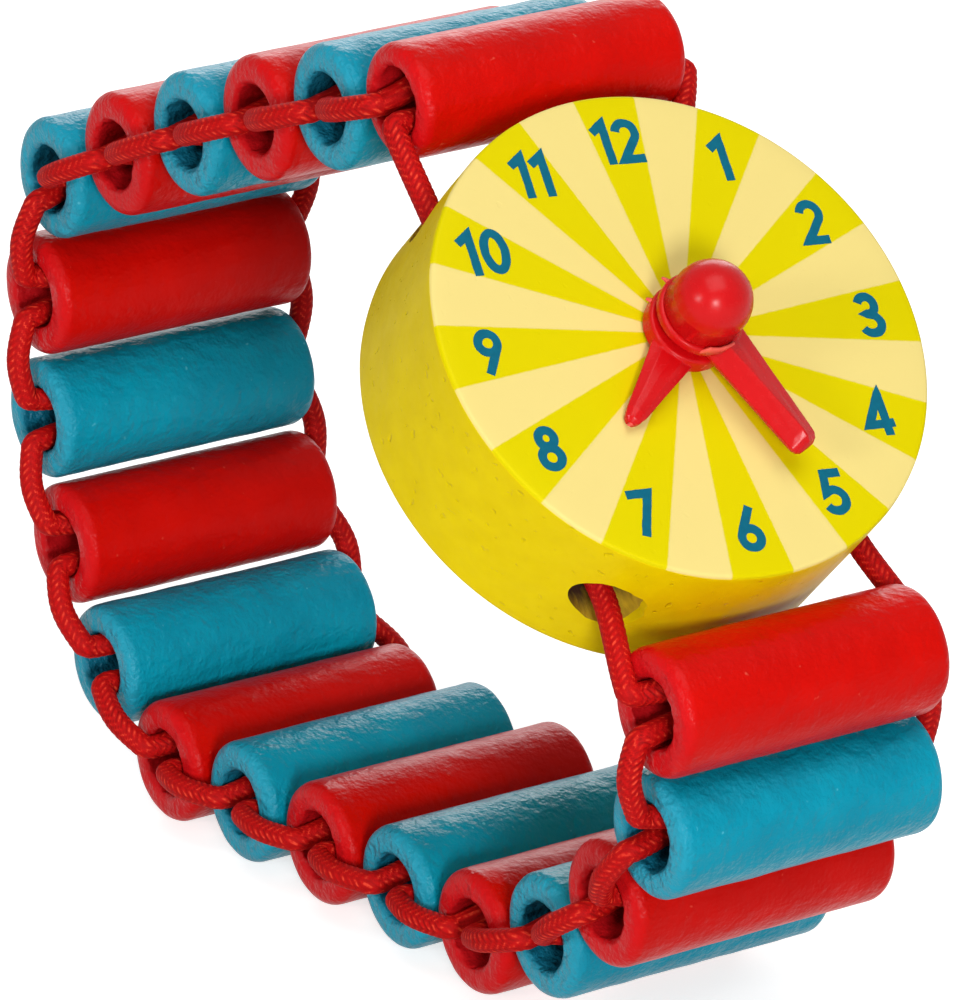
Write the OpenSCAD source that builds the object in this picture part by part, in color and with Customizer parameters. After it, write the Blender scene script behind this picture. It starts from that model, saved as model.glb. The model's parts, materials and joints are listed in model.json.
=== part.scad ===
// Toy bracelet watch: a wooden disc with two loose hands, and a strap of wooden tube beads
// on an elastic cord that is laced through them like a ladder.
// The strap stands on its lowest beads. The beads lie along Y, and the dial faces +X and up.

/* [Beads] */
// Outer diameter of a bead
bead_d = 8; // [6.5:0.1:10]
// Length of a bead
bead_l = 19; // [14:0.5:26]
// Bore of a bead
bead_bore = 4.4; // [4.3:0.1:5.2]
// Rounding of a bead's outer edges
bead_round = 0.9; // [0.2:0.1:1.2]
// Rounding of a bead's bore at its mouths
mouth_round = 0.5; // [0.1:0.05:0.6]
// Gap between neighbouring beads
bead_gap = 0.25; // [0.1:0.05:1]
// How far the beads sway to either side of the strap's middle
sway = 1.2; // [0:0.1:2]

/* [Case] */
// Diameter of the wooden disc
case_d = 32; // [26:0.5:40]
// Thickness of the wooden disc
case_t = 11.2; // [9:0.2:16]
// Rounding of the disc's edges
case_round = 0.4; // [0.2:0.1:1.5]
// Distance between the two cord channels
channel_span = 18; // [12:0.5:20]
// Diameter of a cord channel
channel_d = 3.6; // [2.4:0.1:4.5]
// Gap between the disc and the bead next to it
case_gap = 0.5; // [0.4:0.1:3]
// How far the end beads lie in front of the disc's middle plane
case_inset = 0.2; // [0:0.1:3]

/* [Cord] */
// Diameter of the elastic cord
cord_d = 1.5; // [1:0.05:1.6]
// Distance of a strand from the axis of the bead it runs in
strand_off = 1.35; // [1.3:0.05:1.4]
// Radius of the cord's bend from a bead to the next one
cord_bend = 1.1; // [0.95:0.05:2]
// Radius of the cord's bend from a bead to the disc
case_bend = 1.6; // [1.5:0.05:2]
// Diameter of the knot
knot_d = 3.6; // [3:0.1:3.8]
// Rounding of the knot's ends
knot_round = 1; // [0.4:0.1:1.4]
// Length of the knot
knot_l = 4.6; // [4:0.1:7]
// Gap between two stretches of cord where the strap bends
cord_gap = 0.3; // [0.2:0.05:0.6]

/* [Hands] */
// Diameter of the pin
pin_d = 2.4; // [1.6:0.1:3]
// Depth of the pin in the disc
pin_depth = 7; // [4:0.5:8.5]
// Diameter of the pin's ball head
ball_d = 5.1; // [4.5:0.1:6]
// Height of the ball's centre over the dial
ball_h = 4.2; // [4:0.1:5]
// Running clearance of a hand on the pin, all round
hand_fit = 0.06; // [0.02:0.01:0.1]
// Gap under and between the hands
hand_gap = 0.2; // [0.1:0.05:0.4]
// Thickness of a hand
hand_t = 1.2; // [0.6:0.1:1.2]
// Diameter of a hand's hub
hub_d = 5.5; // [5:0.1:7]
// Reach of the hour hand from the pin's axis
hour_reach = 8.1; // [7:0.1:11]
// Width of the hour hand's arm at the pin
hour_root = 3.4; // [2:0.1:4.5]
// Width of the hour hand at its tip
hour_tip = 1.3; // [1:0.1:2.4]
// Place of the hour hand, in degrees from the strap's upper side
hour_at = 232; // [0:1:359]
// Reach of the minute hand from the pin's axis
minute_reach = 10.1; // [8:0.1:13]
// Width of the minute hand's arm at the pin
minute_root = 3.6; // [2:0.1:4.5]
// Width of the minute hand at its tip
minute_tip = 2.2; // [1:0.1:3]
// Place of the minute hand, in degrees from the strap's upper side
minute_at = 161; // [0:1:359]
// Height of the ridge along the minute hand
ridge_h = 0.35; // [0.1:0.05:0.5]
// Width of the ridge along the minute hand
ridge_w = 1.8; // [0.6:0.1:2]

/* [Hidden] */
$fn = 64;
cord_sides = 8;
bend_steps = 3;
round_steps = 4;
tip_steps = 10;
red = [0.80, 0.08, 0.05];
blue = [0.08, 0.50, 0.60];
yellow = [0.86, 0.80, 0.05];

// The strap's lie from the bead above the disc round the back and along the ground:
// runs of beads, each as the number of beads and the bend at each of them
back_bends = [[4, 2], [1, 55], [3, 14], [1, 26], [1, 32]];
ground_bends = [[3, 0]];
front_bends = [[1, 19], [2, 16], [1, 32]];
function spread(runs) = [for (run = runs) for (k = [1 : run[0]]) run[1]];
bends = concat(spread(back_bends), spread(ground_bends), spread(front_bends));
links = len(bends) + 1;
beads = links + 1;
pitch = bead_d + bead_gap;
// The sway repeats after this many beads, and is widest at its start
sway_beads = 14;
sway_start = 1.5;
function bead_y(i) = sway * cos(360 * (i - sway_start) / sway_beads);

// One factor on all bends closes the strap on the disc
function total(list, n) = n == 0 ? 0 : list[n - 1] + total(list, n - 1);
back_turn = total(spread(back_bends), len(spread(back_bends)));
function heading(i, tight) = tight * (total(bends, min(i, len(bends))) - back_turn);
function lie(tight) = [for (i = 0, p = [0, 0]; i < beads;
    p = p + pitch * [cos(heading(i, tight)), sin(heading(i, tight))], i = i + 1) p];
function opening(tight) = let (row = lie(tight)) norm(row[beads - 1] - row[0]);
case_room = case_d + bead_d + 2 * case_gap;
function close_on(lo, hi, n) = let (mid = (lo + hi) / 2)
    n == 0 ? mid : opening(mid) > case_room ? close_on(mid, hi, n - 1) : close_on(lo, mid, n - 1);
tightness = close_on(0.7, 1.25, 40);
loose_row = lie(tightness);
middle_x = (min([for (p = loose_row) p[0]]) + max([for (p = loose_row) p[0]])) / 2;
ground_z = min([for (p = loose_row) p[1]]) - bead_d / 2;
// Centres of the beads in X and Z, from the one above the disc to the one below it
row = [for (p = loose_row) p - [middle_x, ground_z]];

// The disc sits between the end beads and faces outwards
down = (row[beads - 1] - row[0]) / norm(row[beads - 1] - row[0]);
out = [-down[1], down[0]];
case_mid = (row[0] + row[beads - 1]) / 2 - case_inset * out;
case_turn = atan2(out[0], out[1]);
channel_y = channel_span / 2;
mouth_x = sqrt(pow(case_d / 2, 2) - pow(channel_y, 2));

bead_r = bead_d / 2;
cord_r = cord_d / 2;
pin_r = pin_d / 2;
hour_z = hand_gap;
minute_z = hour_z + hand_t + hand_gap;
head_z = minute_z + hand_t + hand_gap;
knot_at = ceil(beads / 2);

function two(i) = str(i < 10 ? "0" : "", i);
bead_names = [for (i = [1 : beads]) str("bead_", two(i))];
link_names = [for (i = [1 : links]) str("cord_link_", two(i))];

echo(row = row, bead_ys = [for (i = [1 : beads]) bead_y(i)]);
echo(case_mid = case_mid, out = out, tightness = tightness);

// A round tube along a path of points
function unit(v) = v / norm(v);
function path_dir(path, i) = let (
        n = len(path) - 1,
        ahead = i < n ? unit(path[i + 1] - path[i]) : [0, 0, 0],
        behind = i > 0 ? unit(path[i] - path[i - 1]) : [0, 0, 0])
    unit(ahead + behind);
function square_to(v, dir) = unit(v - (v * dir) * dir);
function sides(dirs, first) = [for (i = 0, v = square_to(first, dirs[0]); i < len(dirs);
    v = square_to(v, dirs[min(i + 1, len(dirs) - 1)]), i = i + 1) v];

module tube(path, r, first) {
    n = len(path);
    dirs = [for (i = [0 : n - 1]) path_dir(path, i)];
    side = sides(dirs, first);
    points = [for (i = [0 : n - 1]) for (k = [0 : cord_sides - 1])
        let (a = 360 * k / cord_sides)
        path[i] + r * (cos(a) * side[i] + sin(a) * cross(dirs[i], side[i]))];
    walls = [for (i = [0 : n - 2]) for (k = [0 : cord_sides - 1])
        let (a = i * cord_sides + k, b = i * cord_sides + (k + 1) % cord_sides)
        each [[a, b + cord_sides, b], [a, a + cord_sides, b + cord_sides]]];
    last = (n - 1) * cord_sides;
    caps = [for (k = [1 : cord_sides - 2])
        each [[0, k, k + 1], [last, last + k + 1, last + k]]];
    polyhedron(points = points, faces = concat(walls, caps));
}

function at(p, y) = [p[0], y, p[1]];
// Outward direction of the loop at a bead, halfway between its two neighbours
function before(i) = i == 1 ? case_mid - mouth_x * down : row[i - 2];
function after(i) = i == beads ? case_mid + mouth_x * down : row[i];
function loop_out(i) = let (t = unit(after(i) - before(i))) [t[1], -t[0]];

// A strand from the middle of bead i, on its outer or inner side, to its mouth
// and over its end towards a point
function strand(i, towards, side, way, gap, bend) = let (
        c = row[i - 1],
        u = unit(towards - c),
        start = c + way * strand_off * loop_out(i))
    concat([at(start, bead_y(i) + side * gap)],
        [for (k = [0 : bend_steps]) let (a = 90 * k / bend_steps)
            at(c + (strand_off + bend * (1 - cos(a))) * u,
                bead_y(i) + side * (bead_l / 2 + bend * sin(a)))]);
function backwards(list) = [for (i = [len(list) - 1 : -1 : 0]) list[i]];
function inner_gap(i) = i == knot_at ? knot_l / 2 + cord_gap : cord_gap / 2;

// The stretch of cord at one edge of the strap from bead i to the next
module link_strand(i, side) {
    first = strand(i, row[i], side, -side, inner_gap(i), cord_bend);
    second = strand(i + 1, row[i - 1], side, side, inner_gap(i + 1), cord_bend);
    tube(concat(first, backwards(second)), cord_r, at(loop_out(i), 0));
}

module cord_link(i) {
    color(red) {
        link_strand(i, -1);
        link_strand(i, 1);
    }
}

// The stretch of cord from the first bead through a channel of the disc to the last bead
module case_cord(side) {
    upper = case_mid - mouth_x * down;
    lower = case_mid + mouth_x * down;
    first = strand(1, upper, side, side, inner_gap(1), case_bend);
    last = strand(beads, lower, side, -side, inner_gap(beads), case_bend);
    color(red)
        tube(concat(first, [at(upper, side * channel_y), at(lower, side * channel_y)], backwards(last)),
            cord_r, at(loop_out(1), 0));
}

// Points of a rounded corner: centre, radius and the angle it starts at
function corner(x, y, r, from) = [for (k = [0 : round_steps]) let (a = from + 90 * k / round_steps)
    [x + r * cos(a), y + r * sin(a)]];

module cord_knot() {
    half = knot_l / 2;
    r = knot_d / 2;
    profile = concat([[0, half], [0, -half]],
        corner(r - knot_round, -half + knot_round, knot_round, 270),
        corner(r - knot_round, half - knot_round, knot_round, 0));
    color(red)
        translate(at(row[knot_at - 1], bead_y(knot_at)))
        rotate([90, 0, 0])
        rotate_extrude() polygon(profile);
}

module bead(i) {
    bore_r = bead_bore / 2;
    half = bead_l / 2;
    profile = concat(
        corner(bead_r - bead_round, half - bead_round, bead_round, 0),
        corner(bore_r + mouth_round, half - mouth_round, mouth_round, 90),
        corner(bore_r + mouth_round, -half + mouth_round, mouth_round, 180),
        corner(bead_r - bead_round, -half + bead_round, bead_round, 270));
    color(i % 2 == 1 ? red : blue)
        translate(at(row[i - 1], bead_y(i)))
        rotate([90, 0, 0])
        rotate_extrude() polygon(profile);
}

// The disc's own frame: +Z out of the dial, +X towards six o'clock, origin in the dial's centre
module on_dial() {
    translate(at(case_mid, 0))
        rotate([0, case_turn, 0])
        translate([0, 0, case_t / 2])
        children();
}

module case_disc() {
    half = case_t / 2;
    r = case_d / 2;
    profile = concat([[0, half]], [[0, -half]],
        corner(r - case_round, -half + case_round, case_round, 270),
        corner(r - case_round, half - case_round, case_round, 0));
    color(yellow)
        on_dial()
        difference() {
            translate([0, 0, -half]) rotate_extrude() polygon(profile);
            for (y = [-channel_y, channel_y])
                translate([0, y, -half])
                rotate([0, 90, 0])
                cylinder(d = channel_d, h = 2 * case_d, center = true);
            translate([0, 0, -pin_depth]) cylinder(d = pin_d, h = pin_depth + case_t);
        }
}

module hand_pin() {
    color(red)
        on_dial() {
            translate([0, 0, -pin_depth]) cylinder(d = pin_d, h = pin_depth + ball_h);
            intersection() {
                translate([0, 0, ball_h]) sphere(d = ball_d);
                translate([0, 0, head_z]) cylinder(d = 2 * ball_d, h = 2 * ball_d);
            }
        }
}

// A flat hand that points along +X: a round hub, and an arm that narrows to a round tip
module hand_blank(reach, root_w, tip_w) {
    tip_r = tip_w / 2;
    tip = [for (k = [0 : tip_steps]) let (a = 90 - 180 * k / tip_steps)
        [reach - tip_r + tip_r * cos(a), tip_r * sin(a)]];
    difference() {
        union() {
            cylinder(d = hub_d, h = hand_t);
            linear_extrude(hand_t) polygon(concat([[0, root_w / 2]], tip, [[0, -root_w / 2]]));
        }
        cylinder(r = pin_r + hand_fit, h = 4 * hand_t, center = true);
    }
}

module hour_hand() {
    color(red)
        on_dial()
        rotate(180 - hour_at)
        translate([0, 0, hour_z])
        hand_blank(hour_reach, hour_root, hour_tip);
}

module minute_hand() {
    ridge_from = hub_d / 2;
    ridge_l = minute_reach - minute_tip / 2 - ridge_from;
    color(red)
        on_dial()
        rotate(180 - minute_at)
        translate([0, 0, minute_z]) {
            hand_blank(minute_reach, minute_root, minute_tip);
            translate([ridge_from, 0, hand_t])
                rotate([90, 0, 90])
                linear_extrude(ridge_l)
                polygon([[-ridge_w / 2, 0], [ridge_w / 2, 0], [0, ridge_h]]);
        }
}

case_disc();
hand_pin();
hour_hand();
minute_hand();
case_cord(-1);  // case_cord_left
case_cord(1);  // case_cord_right
cord_knot();
for (i = [1 : beads]) bead(i);
for (i = [1 : links]) cord_link(i);
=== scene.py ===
# Wooden toy watch: painted tube beads on a braided elastic cord, a printed disc and two plastic hands.
import json
import math
import bpy
import bmesh
from mathutils import Matrix, Vector, geometry, noise


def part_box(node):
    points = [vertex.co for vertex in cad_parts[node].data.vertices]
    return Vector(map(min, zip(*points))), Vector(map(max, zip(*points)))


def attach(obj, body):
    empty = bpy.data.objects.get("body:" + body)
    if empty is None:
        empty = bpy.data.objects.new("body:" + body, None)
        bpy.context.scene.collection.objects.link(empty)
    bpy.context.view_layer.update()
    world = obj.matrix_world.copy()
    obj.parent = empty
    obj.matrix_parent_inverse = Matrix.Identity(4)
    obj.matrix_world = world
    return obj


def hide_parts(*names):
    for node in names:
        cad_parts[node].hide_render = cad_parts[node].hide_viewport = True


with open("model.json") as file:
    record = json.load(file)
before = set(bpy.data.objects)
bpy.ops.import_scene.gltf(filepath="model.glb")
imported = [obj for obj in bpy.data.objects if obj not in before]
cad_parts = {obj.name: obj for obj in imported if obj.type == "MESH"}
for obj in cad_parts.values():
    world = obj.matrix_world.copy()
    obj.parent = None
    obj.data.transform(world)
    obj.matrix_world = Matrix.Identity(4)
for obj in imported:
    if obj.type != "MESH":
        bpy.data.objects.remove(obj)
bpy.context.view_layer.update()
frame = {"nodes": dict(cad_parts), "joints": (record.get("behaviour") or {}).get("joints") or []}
mm = 0.001


# Helpers

def linear(hexColour):
    parts = [int(hexColour[k:k + 2], 16) / 255 for k in (1, 3, 5)]
    return [c / 12.92 if c <= 0.04045 else ((c + 0.055) / 1.055) ** 2.4 for c in parts] + [1.0]


def plug(tree, node, inputs):
    # a socket is linked, and anything else becomes the input's value
    for name, value in inputs.items():
        if isinstance(value, bpy.types.NodeSocket):
            tree.links.new(value, node.inputs[name])
        else:
            node.inputs[name].default_value = value


def addNode(tree, kind, inputs=None, **settings):
    node = tree.nodes.new(kind)
    for name, value in settings.items():
        setattr(node, name, value)
    plug(tree, node, inputs or {})
    return node


def newMaterial(name):
    material = bpy.data.materials.new(name)
    material.use_nodes = True
    tree = material.node_tree
    return material, tree, tree.nodes["Principled BSDF"]


def perMm(size):
    return 1.0 / (size * mm)  # a texture's scale, from the size of its pattern in mm


def addPiece(name, verts, faces, materials, place=None):
    mesh = bpy.data.meshes.new(name)
    mesh.from_pydata(verts, [], faces)
    bm = bmesh.new()
    bm.from_mesh(mesh)
    bmesh.ops.recalc_face_normals(bm, faces=bm.faces)
    bm.to_mesh(mesh)
    bm.free()
    for material in materials:
        mesh.materials.append(material)
    mesh.shade_smooth()
    piece = bpy.data.objects.new(name, mesh)
    bpy.context.scene.collection.objects.link(piece)
    if place is not None:
        piece.matrix_world = place
    return piece


def settle(piece):
    # the modifiers' result becomes the mesh
    bpy.context.view_layer.update()
    graph = bpy.context.evaluated_depsgraph_get()
    mesh = bpy.data.meshes.new_from_object(piece.evaluated_get(graph))
    piece.modifiers.clear()
    piece.data = mesh
    return piece


def dress(piece, body, slot, *nodes):
    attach(piece, body)
    if nodes:
        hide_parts(*nodes)
    return piece


def paintPoints(piece, name, values):
    layer = piece.data.attributes.new(name, "FLOAT", "POINT")
    layer.data.foreach_set("value", values)


def ripple(point, size, seed):
    return noise.noise(point / size + Vector((seed, 3.1 * seed, -1.7 * seed)))


def arcPoints(centre, radius, start, stop, steps):
    angles = [math.radians(start + (stop - start) * k / steps) for k in range(steps + 1)]
    return [(centre[0] + radius * math.cos(a), centre[1] + radius * math.sin(a)) for a in angles]


def ringAngles(around):
    return [2 * math.pi * k / around for k in range(around)]


def ringFaces(rings, around, closed):
    # the quads between rings of points, and back to the first ring if the section is closed
    faces = []
    for i in range(rings if closed else rings - 1):
        j = (i + 1) % rings
        for k in range(around):
            n = (k + 1) % around
            faces.append((i * around + k, i * around + n, j * around + n, j * around + k))
    return faces


def tubeFaces(rings, around):
    # an open run of rings, with a cap on the first and on the last
    caps = [tuple(range(around)), tuple((rings - 1) * around + k for k in range(around))]
    return ringFaces(rings, around, False) + caps


def joined(bodies):
    verts, faces = [], []
    for v, f in bodies:
        faces += [tuple(k + len(verts) for k in face) for face in f]
        verts += v
    return verts, faces


# Places that come from the frame

def nodeCentre(name):
    low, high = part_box(name)
    return (low + high) / 2


beadNames = sorted(name for name in frame["nodes"] if name.startswith("bead_"))
beadCentres = [nodeCentre(name) for name in beadNames]
firstLow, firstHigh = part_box(beadNames[0])
beadRadius = (firstHigh.x - firstLow.x) / 2
beadHalf = (firstHigh.y - firstLow.y) / 2
jointOf = {joint["name"]: joint for joint in frame["joints"]}
dialOut = Vector(jointOf["hour_hand_turn"]["axis"]).normalized()
dialCentre = Vector(jointOf["hour_hand_turn"]["pos_m"])
toThree = Vector((0, 1, 0))
toSix = toThree.cross(dialOut)
# the dial's own frame: +X to six o'clock, +Y to three o'clock, +Z out of the dial
dialPlace = Matrix.Translation(dialCentre) @ Matrix((toSix, toThree, dialOut)).transposed().to_4x4()
channel = {"y": 9.0, "radius": 1.8, "depth": 5.6}  # mm, in the dial's frame
discLow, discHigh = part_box("case_disc")
discRadius = (discHigh.y - discLow.y) / 2
mouthX = math.sqrt(discRadius ** 2 - (channel["y"] * mm) ** 2)


# Camera

cameraSetup = {
    "azimuth": 56.70,  # degrees
    "elevation": 21.09,
    "distance": 518.6,  # mm to the aim point
    "aimRight": 0.967,  # mm from the origin, across and up the picture
    "aimUp": 24.43,
    "focalPixels": 8265,
    "frameWidth": 956,
    "sensor": 36,  # mm
    "near": 0.01,  # m, what the camera sees starts and ends here
    "far": 20,
}


def backwards(azimuth, elevation):
    turn, lift = math.radians(azimuth), math.radians(elevation)
    return Vector((math.sin(turn) * math.cos(lift), -math.cos(turn) * math.cos(lift), math.sin(lift)))


def makeCamera(setup):
    turn = math.radians(setup["azimuth"])
    back = backwards(setup["azimuth"], setup["elevation"])
    right = Vector((math.cos(turn), math.sin(turn), 0))
    up = back.cross(right)
    data = bpy.data.cameras.new("camera")
    data.sensor_fit = "HORIZONTAL"
    data.sensor_width = setup["sensor"]
    data.lens = setup["sensor"] * setup["focalPixels"] / setup["frameWidth"]
    data.clip_start = setup["near"]
    data.clip_end = setup["far"]
    camera = bpy.data.objects.new("camera", data)
    bpy.context.scene.collection.objects.link(camera)
    aim = (right * setup["aimRight"] + up * setup["aimUp"]) * mm
    camera.location = aim + back * setup["distance"] * mm
    camera.rotation_mode = "QUATERNION"
    camera.rotation_quaternion = Matrix((right, up, back)).transposed().to_quaternion()
    bpy.context.scene.camera = camera


makeCamera(cameraSetup)
print("camera set")


# Materials

# Gloss enamel dipped on turned beech and dulled by handling: an even coat with a soft shine, a faint
# orange peel and small specks of dust painted paler as glints, thinner on the sawn ends, which are painted
# paler as a reflection; the bore is painted darker, partly as thin paint on the wood and partly as shade
redEnamel = {
    "name": "glossEnamelOnBeechRed",
    # end is paler as a painted reflection, bore darker partly as painted shade, the pale specks are painted
    # glints
    "coat": "#D60C04", "deep": "#B40602", "end": "#D0141A", "bore": "#B01218", "nibGlint": "#E0604C",
    "rough": 0.24, "gloss": 0.08,
    "peel": 0.12,  # mm high
    "peelSize": 1.0,  # mm across
}
# Satin enamel of another batch: it dried lumpy, so the peel is higher and the shine is broken
blueEnamel = {
    "name": "satinEnamelOnBeechBlue",
    # the same painted reflection, shade and glints in blue
    "coat": "#049CB6", "deep": "#027A94", "end": "#2A9CB6", "bore": "#126A84", "nibGlint": "#6CCADA",
    "rough": 0.23, "gloss": 0.11,
    "peel": 0.22,
    "peelSize": 0.9,
}
enamelGrain = {
    "cloud": 4.0,  # mm, patches of thicker paint
    "dust": 0.5,  # mm between the places where a dust speck with a painted glint may sit
    "nibGlints": (0.76, 0.84),  # the noise where a painted glint starts and where it is full
    "nibGlintShare": 0.5,
    "grit": 0.28,  # mm, coarser than real dust, which is too fine to show
    "gritShare": 0.34,  # of the height of the peel
    "sawn": 0.8,  # how much rougher the saw and the drill leave the wood under the paint
    "roughSpread": 0.16,
}


def enamelOnBeech(look, grain):
    material, tree, shader = newMaterial(look["name"])
    place = addNode(tree, "ShaderNodeTexCoord").outputs["Object"]
    cloud = addNode(tree, "ShaderNodeTexNoise",
                    {"Vector": place, "Scale": perMm(grain["cloud"]), "Detail": 3.0})
    end = addNode(tree, "ShaderNodeAttribute", attribute_name="sawnEnd")
    dust = addNode(tree, "ShaderNodeTexNoise",
                   {"Vector": place, "Scale": perMm(grain["dust"]), "Detail": 1.0})
    nibGlint = addNode(tree, "ShaderNodeMapRange",
                  {"Value": dust.outputs["Fac"], "From Min": grain["nibGlints"][0],
                   "From Max": grain["nibGlints"][1], "To Max": grain["nibGlintShare"]})
    bore = addNode(tree, "ShaderNodeAttribute", attribute_name="bore")
    # each layer over the one before, by its own share: the paler ends are a painted reflection, the pale
    # specks painted glints, the darker bore partly painted shade
    colour = linear(look["coat"])
    for layer, share in (("deep", cloud.outputs["Fac"]), ("end", end.outputs["Fac"]),
                         ("nibGlint", nibGlint.outputs["Result"]), ("bore", bore.outputs["Fac"])):
        mixed = addNode(tree, "ShaderNodeMix", {0: share, 6: colour, 7: linear(look[layer])},
                        data_type="RGBA")
        colour = mixed.outputs[2]
    rough = addNode(tree, "ShaderNodeMath",
                    {0: cloud.outputs["Fac"], 1: grain["roughSpread"], 2: look["rough"]},
                    operation="MULTIPLY_ADD")
    peel = addNode(tree, "ShaderNodeTexNoise",
                   {"Vector": place, "Scale": perMm(look["peelSize"]), "Detail": 2.0})
    grit = addNode(tree, "ShaderNodeTexNoise",
                   {"Vector": place, "Scale": perMm(grain["grit"]), "Detail": 2.0})
    gritty = addNode(tree, "ShaderNodeMath",
                     {0: grit.outputs["Fac"], 1: grain["gritShare"], 2: peel.outputs["Fac"]},
                     operation="MULTIPLY_ADD")
    torn = addNode(tree, "ShaderNodeMath", {0: end.outputs["Fac"], 1: grain["sawn"], 2: 1.0},
                   operation="MULTIPLY_ADD")
    height = addNode(tree, "ShaderNodeMath", {0: gritty.outputs["Value"], 1: torn.outputs["Value"]},
                     operation="MULTIPLY")
    bump = addNode(tree, "ShaderNodeBump", {"Height": height.outputs["Value"], "Strength": 1.0,
                                            "Distance": look["peel"] * mm})
    plug(tree, shader, {"Base Color": colour, "Roughness": rough.outputs["Value"],
                        "Normal": bump.outputs["Normal"], "Specular IOR Level": look["gloss"]})
    return material


# Satin enamel and a pad-printed dial on turned beech: twelve rays on the hours, soft ink edges
dialPrint = {
    "side": "#EED400", "sideDeep": "#DEC000", "ray": "#D9C900", "ground": "#E9D481",
    "turn": 6.64,  # degrees clockwise, how far the print sits off the top of the disc
    "rays": 12,
    "edge": 0.04,  # mm, softness of a ray's edge
    "bleed": 0.4,  # mm, length of the ink's waves along that edge
    "bleedWide": 0.8,  # mm of waves, shared out over the rays
    "printDepth": 0.18,  # mm that the print goes down the rim
    "printFade": 0.06,  # mm
    "fleck": 1.6,  # mm, patches of the side's colour
    "lump": 0.9,  # mm
    "pore": 0.6,  # mm
    "pits": (0.24, 0.32),  # the noise where a pit is full and where it ends
    "pitDeep": -1.2,  # against the height of a lump
    "faceShare": 0.1,  # how much of the lumps and pits the face has
    "relief": 0.05,  # mm
    "rough": 0.32, "roughSpread": 0.2, "gloss": 0.05,
}


def printedBeech(look):
    material, tree, shader = newMaterial("printedEnamelOnBeechYellow")
    place = addNode(tree, "ShaderNodeTexCoord").outputs["Object"]
    axes = addNode(tree, "ShaderNodeSeparateXYZ", {"Vector": place})
    toTwelve = addNode(tree, "ShaderNodeMath", {0: axes.outputs["X"], 1: -1.0}, operation="MULTIPLY")
    angle = addNode(tree, "ShaderNodeMath", {0: axes.outputs["Y"], 1: toTwelve.outputs["Value"]},
                    operation="ARCTAN2")
    turned = addNode(tree, "ShaderNodeMath", {0: angle.outputs["Value"], 1: math.radians(look["turn"])},
                     operation="SUBTRACT")
    wave = addNode(tree, "ShaderNodeMath", {0: turned.outputs["Value"], 1: look["rays"]},
                   operation="MULTIPLY")
    sector = addNode(tree, "ShaderNodeMath", {0: wave.outputs["Value"]}, operation="COSINE")
    away = addNode(tree, "ShaderNodeVectorMath", {0: place}, operation="LENGTH")
    # times the distance from the middle, so an edge is as soft at the rim as near the hands
    across = addNode(tree, "ShaderNodeMath", {0: sector.outputs["Value"], 1: away.outputs["Value"]},
                     operation="MULTIPLY")
    bleed = addNode(tree, "ShaderNodeTexNoise",
                    {"Vector": place, "Scale": perMm(look["bleed"]), "Detail": 2.0})
    shaky = addNode(tree, "ShaderNodeMath",
                    {0: bleed.outputs["Fac"], 1: look["bleedWide"] * mm, 2: across.outputs["Value"]},
                    operation="MULTIPLY_ADD")
    middle = look["bleedWide"] / 2 * mm
    soft = look["edge"] * mm * look["rays"]
    ray = addNode(tree, "ShaderNodeMapRange", {"Value": shaky.outputs["Value"], "From Min": middle - soft,
                                               "From Max": middle + soft})
    fleck = addNode(tree, "ShaderNodeTexNoise",
                    {"Vector": place, "Scale": perMm(look["fleck"]), "Detail": 4.0})
    dial = addNode(tree, "ShaderNodeMix", {0: ray.outputs["Result"], 6: linear(look["ground"]),
                                           7: linear(look["ray"])}, data_type="RGBA")
    side = addNode(tree, "ShaderNodeMix", {0: fleck.outputs["Fac"], 6: linear(look["side"]),
                                           7: linear(look["sideDeep"])}, data_type="RGBA")
    onFace = addNode(tree, "ShaderNodeMapRange",
                     {"Value": axes.outputs["Z"], "From Min": -(look["printDepth"] + look["printFade"]) * mm,
                      "From Max": -look["printDepth"] * mm})
    colour = addNode(tree, "ShaderNodeMix", {0: onFace.outputs["Result"], 6: side.outputs[2],
                                             7: dial.outputs[2]}, data_type="RGBA")
    rough = addNode(tree, "ShaderNodeMath",
                    {0: fleck.outputs["Fac"], 1: look["roughSpread"], 2: look["rough"]},
                    operation="MULTIPLY_ADD")
    # the paint is lumpy and pitted on the side, and only a little uneven on the face
    lumps = addNode(tree, "ShaderNodeTexNoise",
                    {"Vector": place, "Scale": perMm(look["lump"]), "Detail": 3.0})
    pore = addNode(tree, "ShaderNodeTexNoise",
                   {"Vector": place, "Scale": perMm(look["pore"]), "Detail": 1.0})
    pit = addNode(tree, "ShaderNodeMapRange",
                  {"Value": pore.outputs["Fac"], "From Min": look["pits"][0], "From Max": look["pits"][1],
                   "To Min": look["pitDeep"], "To Max": 0.0})
    pitted = addNode(tree, "ShaderNodeMath", {0: lumps.outputs["Fac"], 1: pit.outputs["Result"]},
                     operation="ADD")
    calm = addNode(tree, "ShaderNodeMapRange", {"Value": onFace.outputs["Result"], "To Min": 1.0,
                                                "To Max": look["faceShare"]})
    height = addNode(tree, "ShaderNodeMath", {0: pitted.outputs["Value"], 1: calm.outputs["Result"]},
                     operation="MULTIPLY")
    bump = addNode(tree, "ShaderNodeBump", {"Height": height.outputs["Value"], "Strength": 1.0,
                                            "Distance": look["relief"] * mm})
    plug(tree, shader, {"Base Color": colour.outputs[2], "Roughness": rough.outputs["Value"],
                        "Normal": bump.outputs["Normal"], "Specular IOR Level": look["gloss"]})
    return material


# Bored beech, stained where paint ran in at the mouth: matt, darker inwards, where the dark colour is partly
# painted shade in the channel, with torn fibres
boredBeech = {
    "darkWoodAndShade": "#3A1C06", "stain": "#CBA60A", "rough": 0.8,
    "fibre": 0.45,  # mm wide
    "drawn": 0.35,  # the pattern's scale along the channel, which makes the fibres long
    "fibreShare": 0.9,
    "stainDepth": 2.2,  # mm from the mouth
    "bare": (-0.3, 0.7),  # bare wood at the mouth and behind the stain, before the fibres; deeper in, its dark colour is partly painted shade
    "relief": 0.2,  # mm
}


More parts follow.
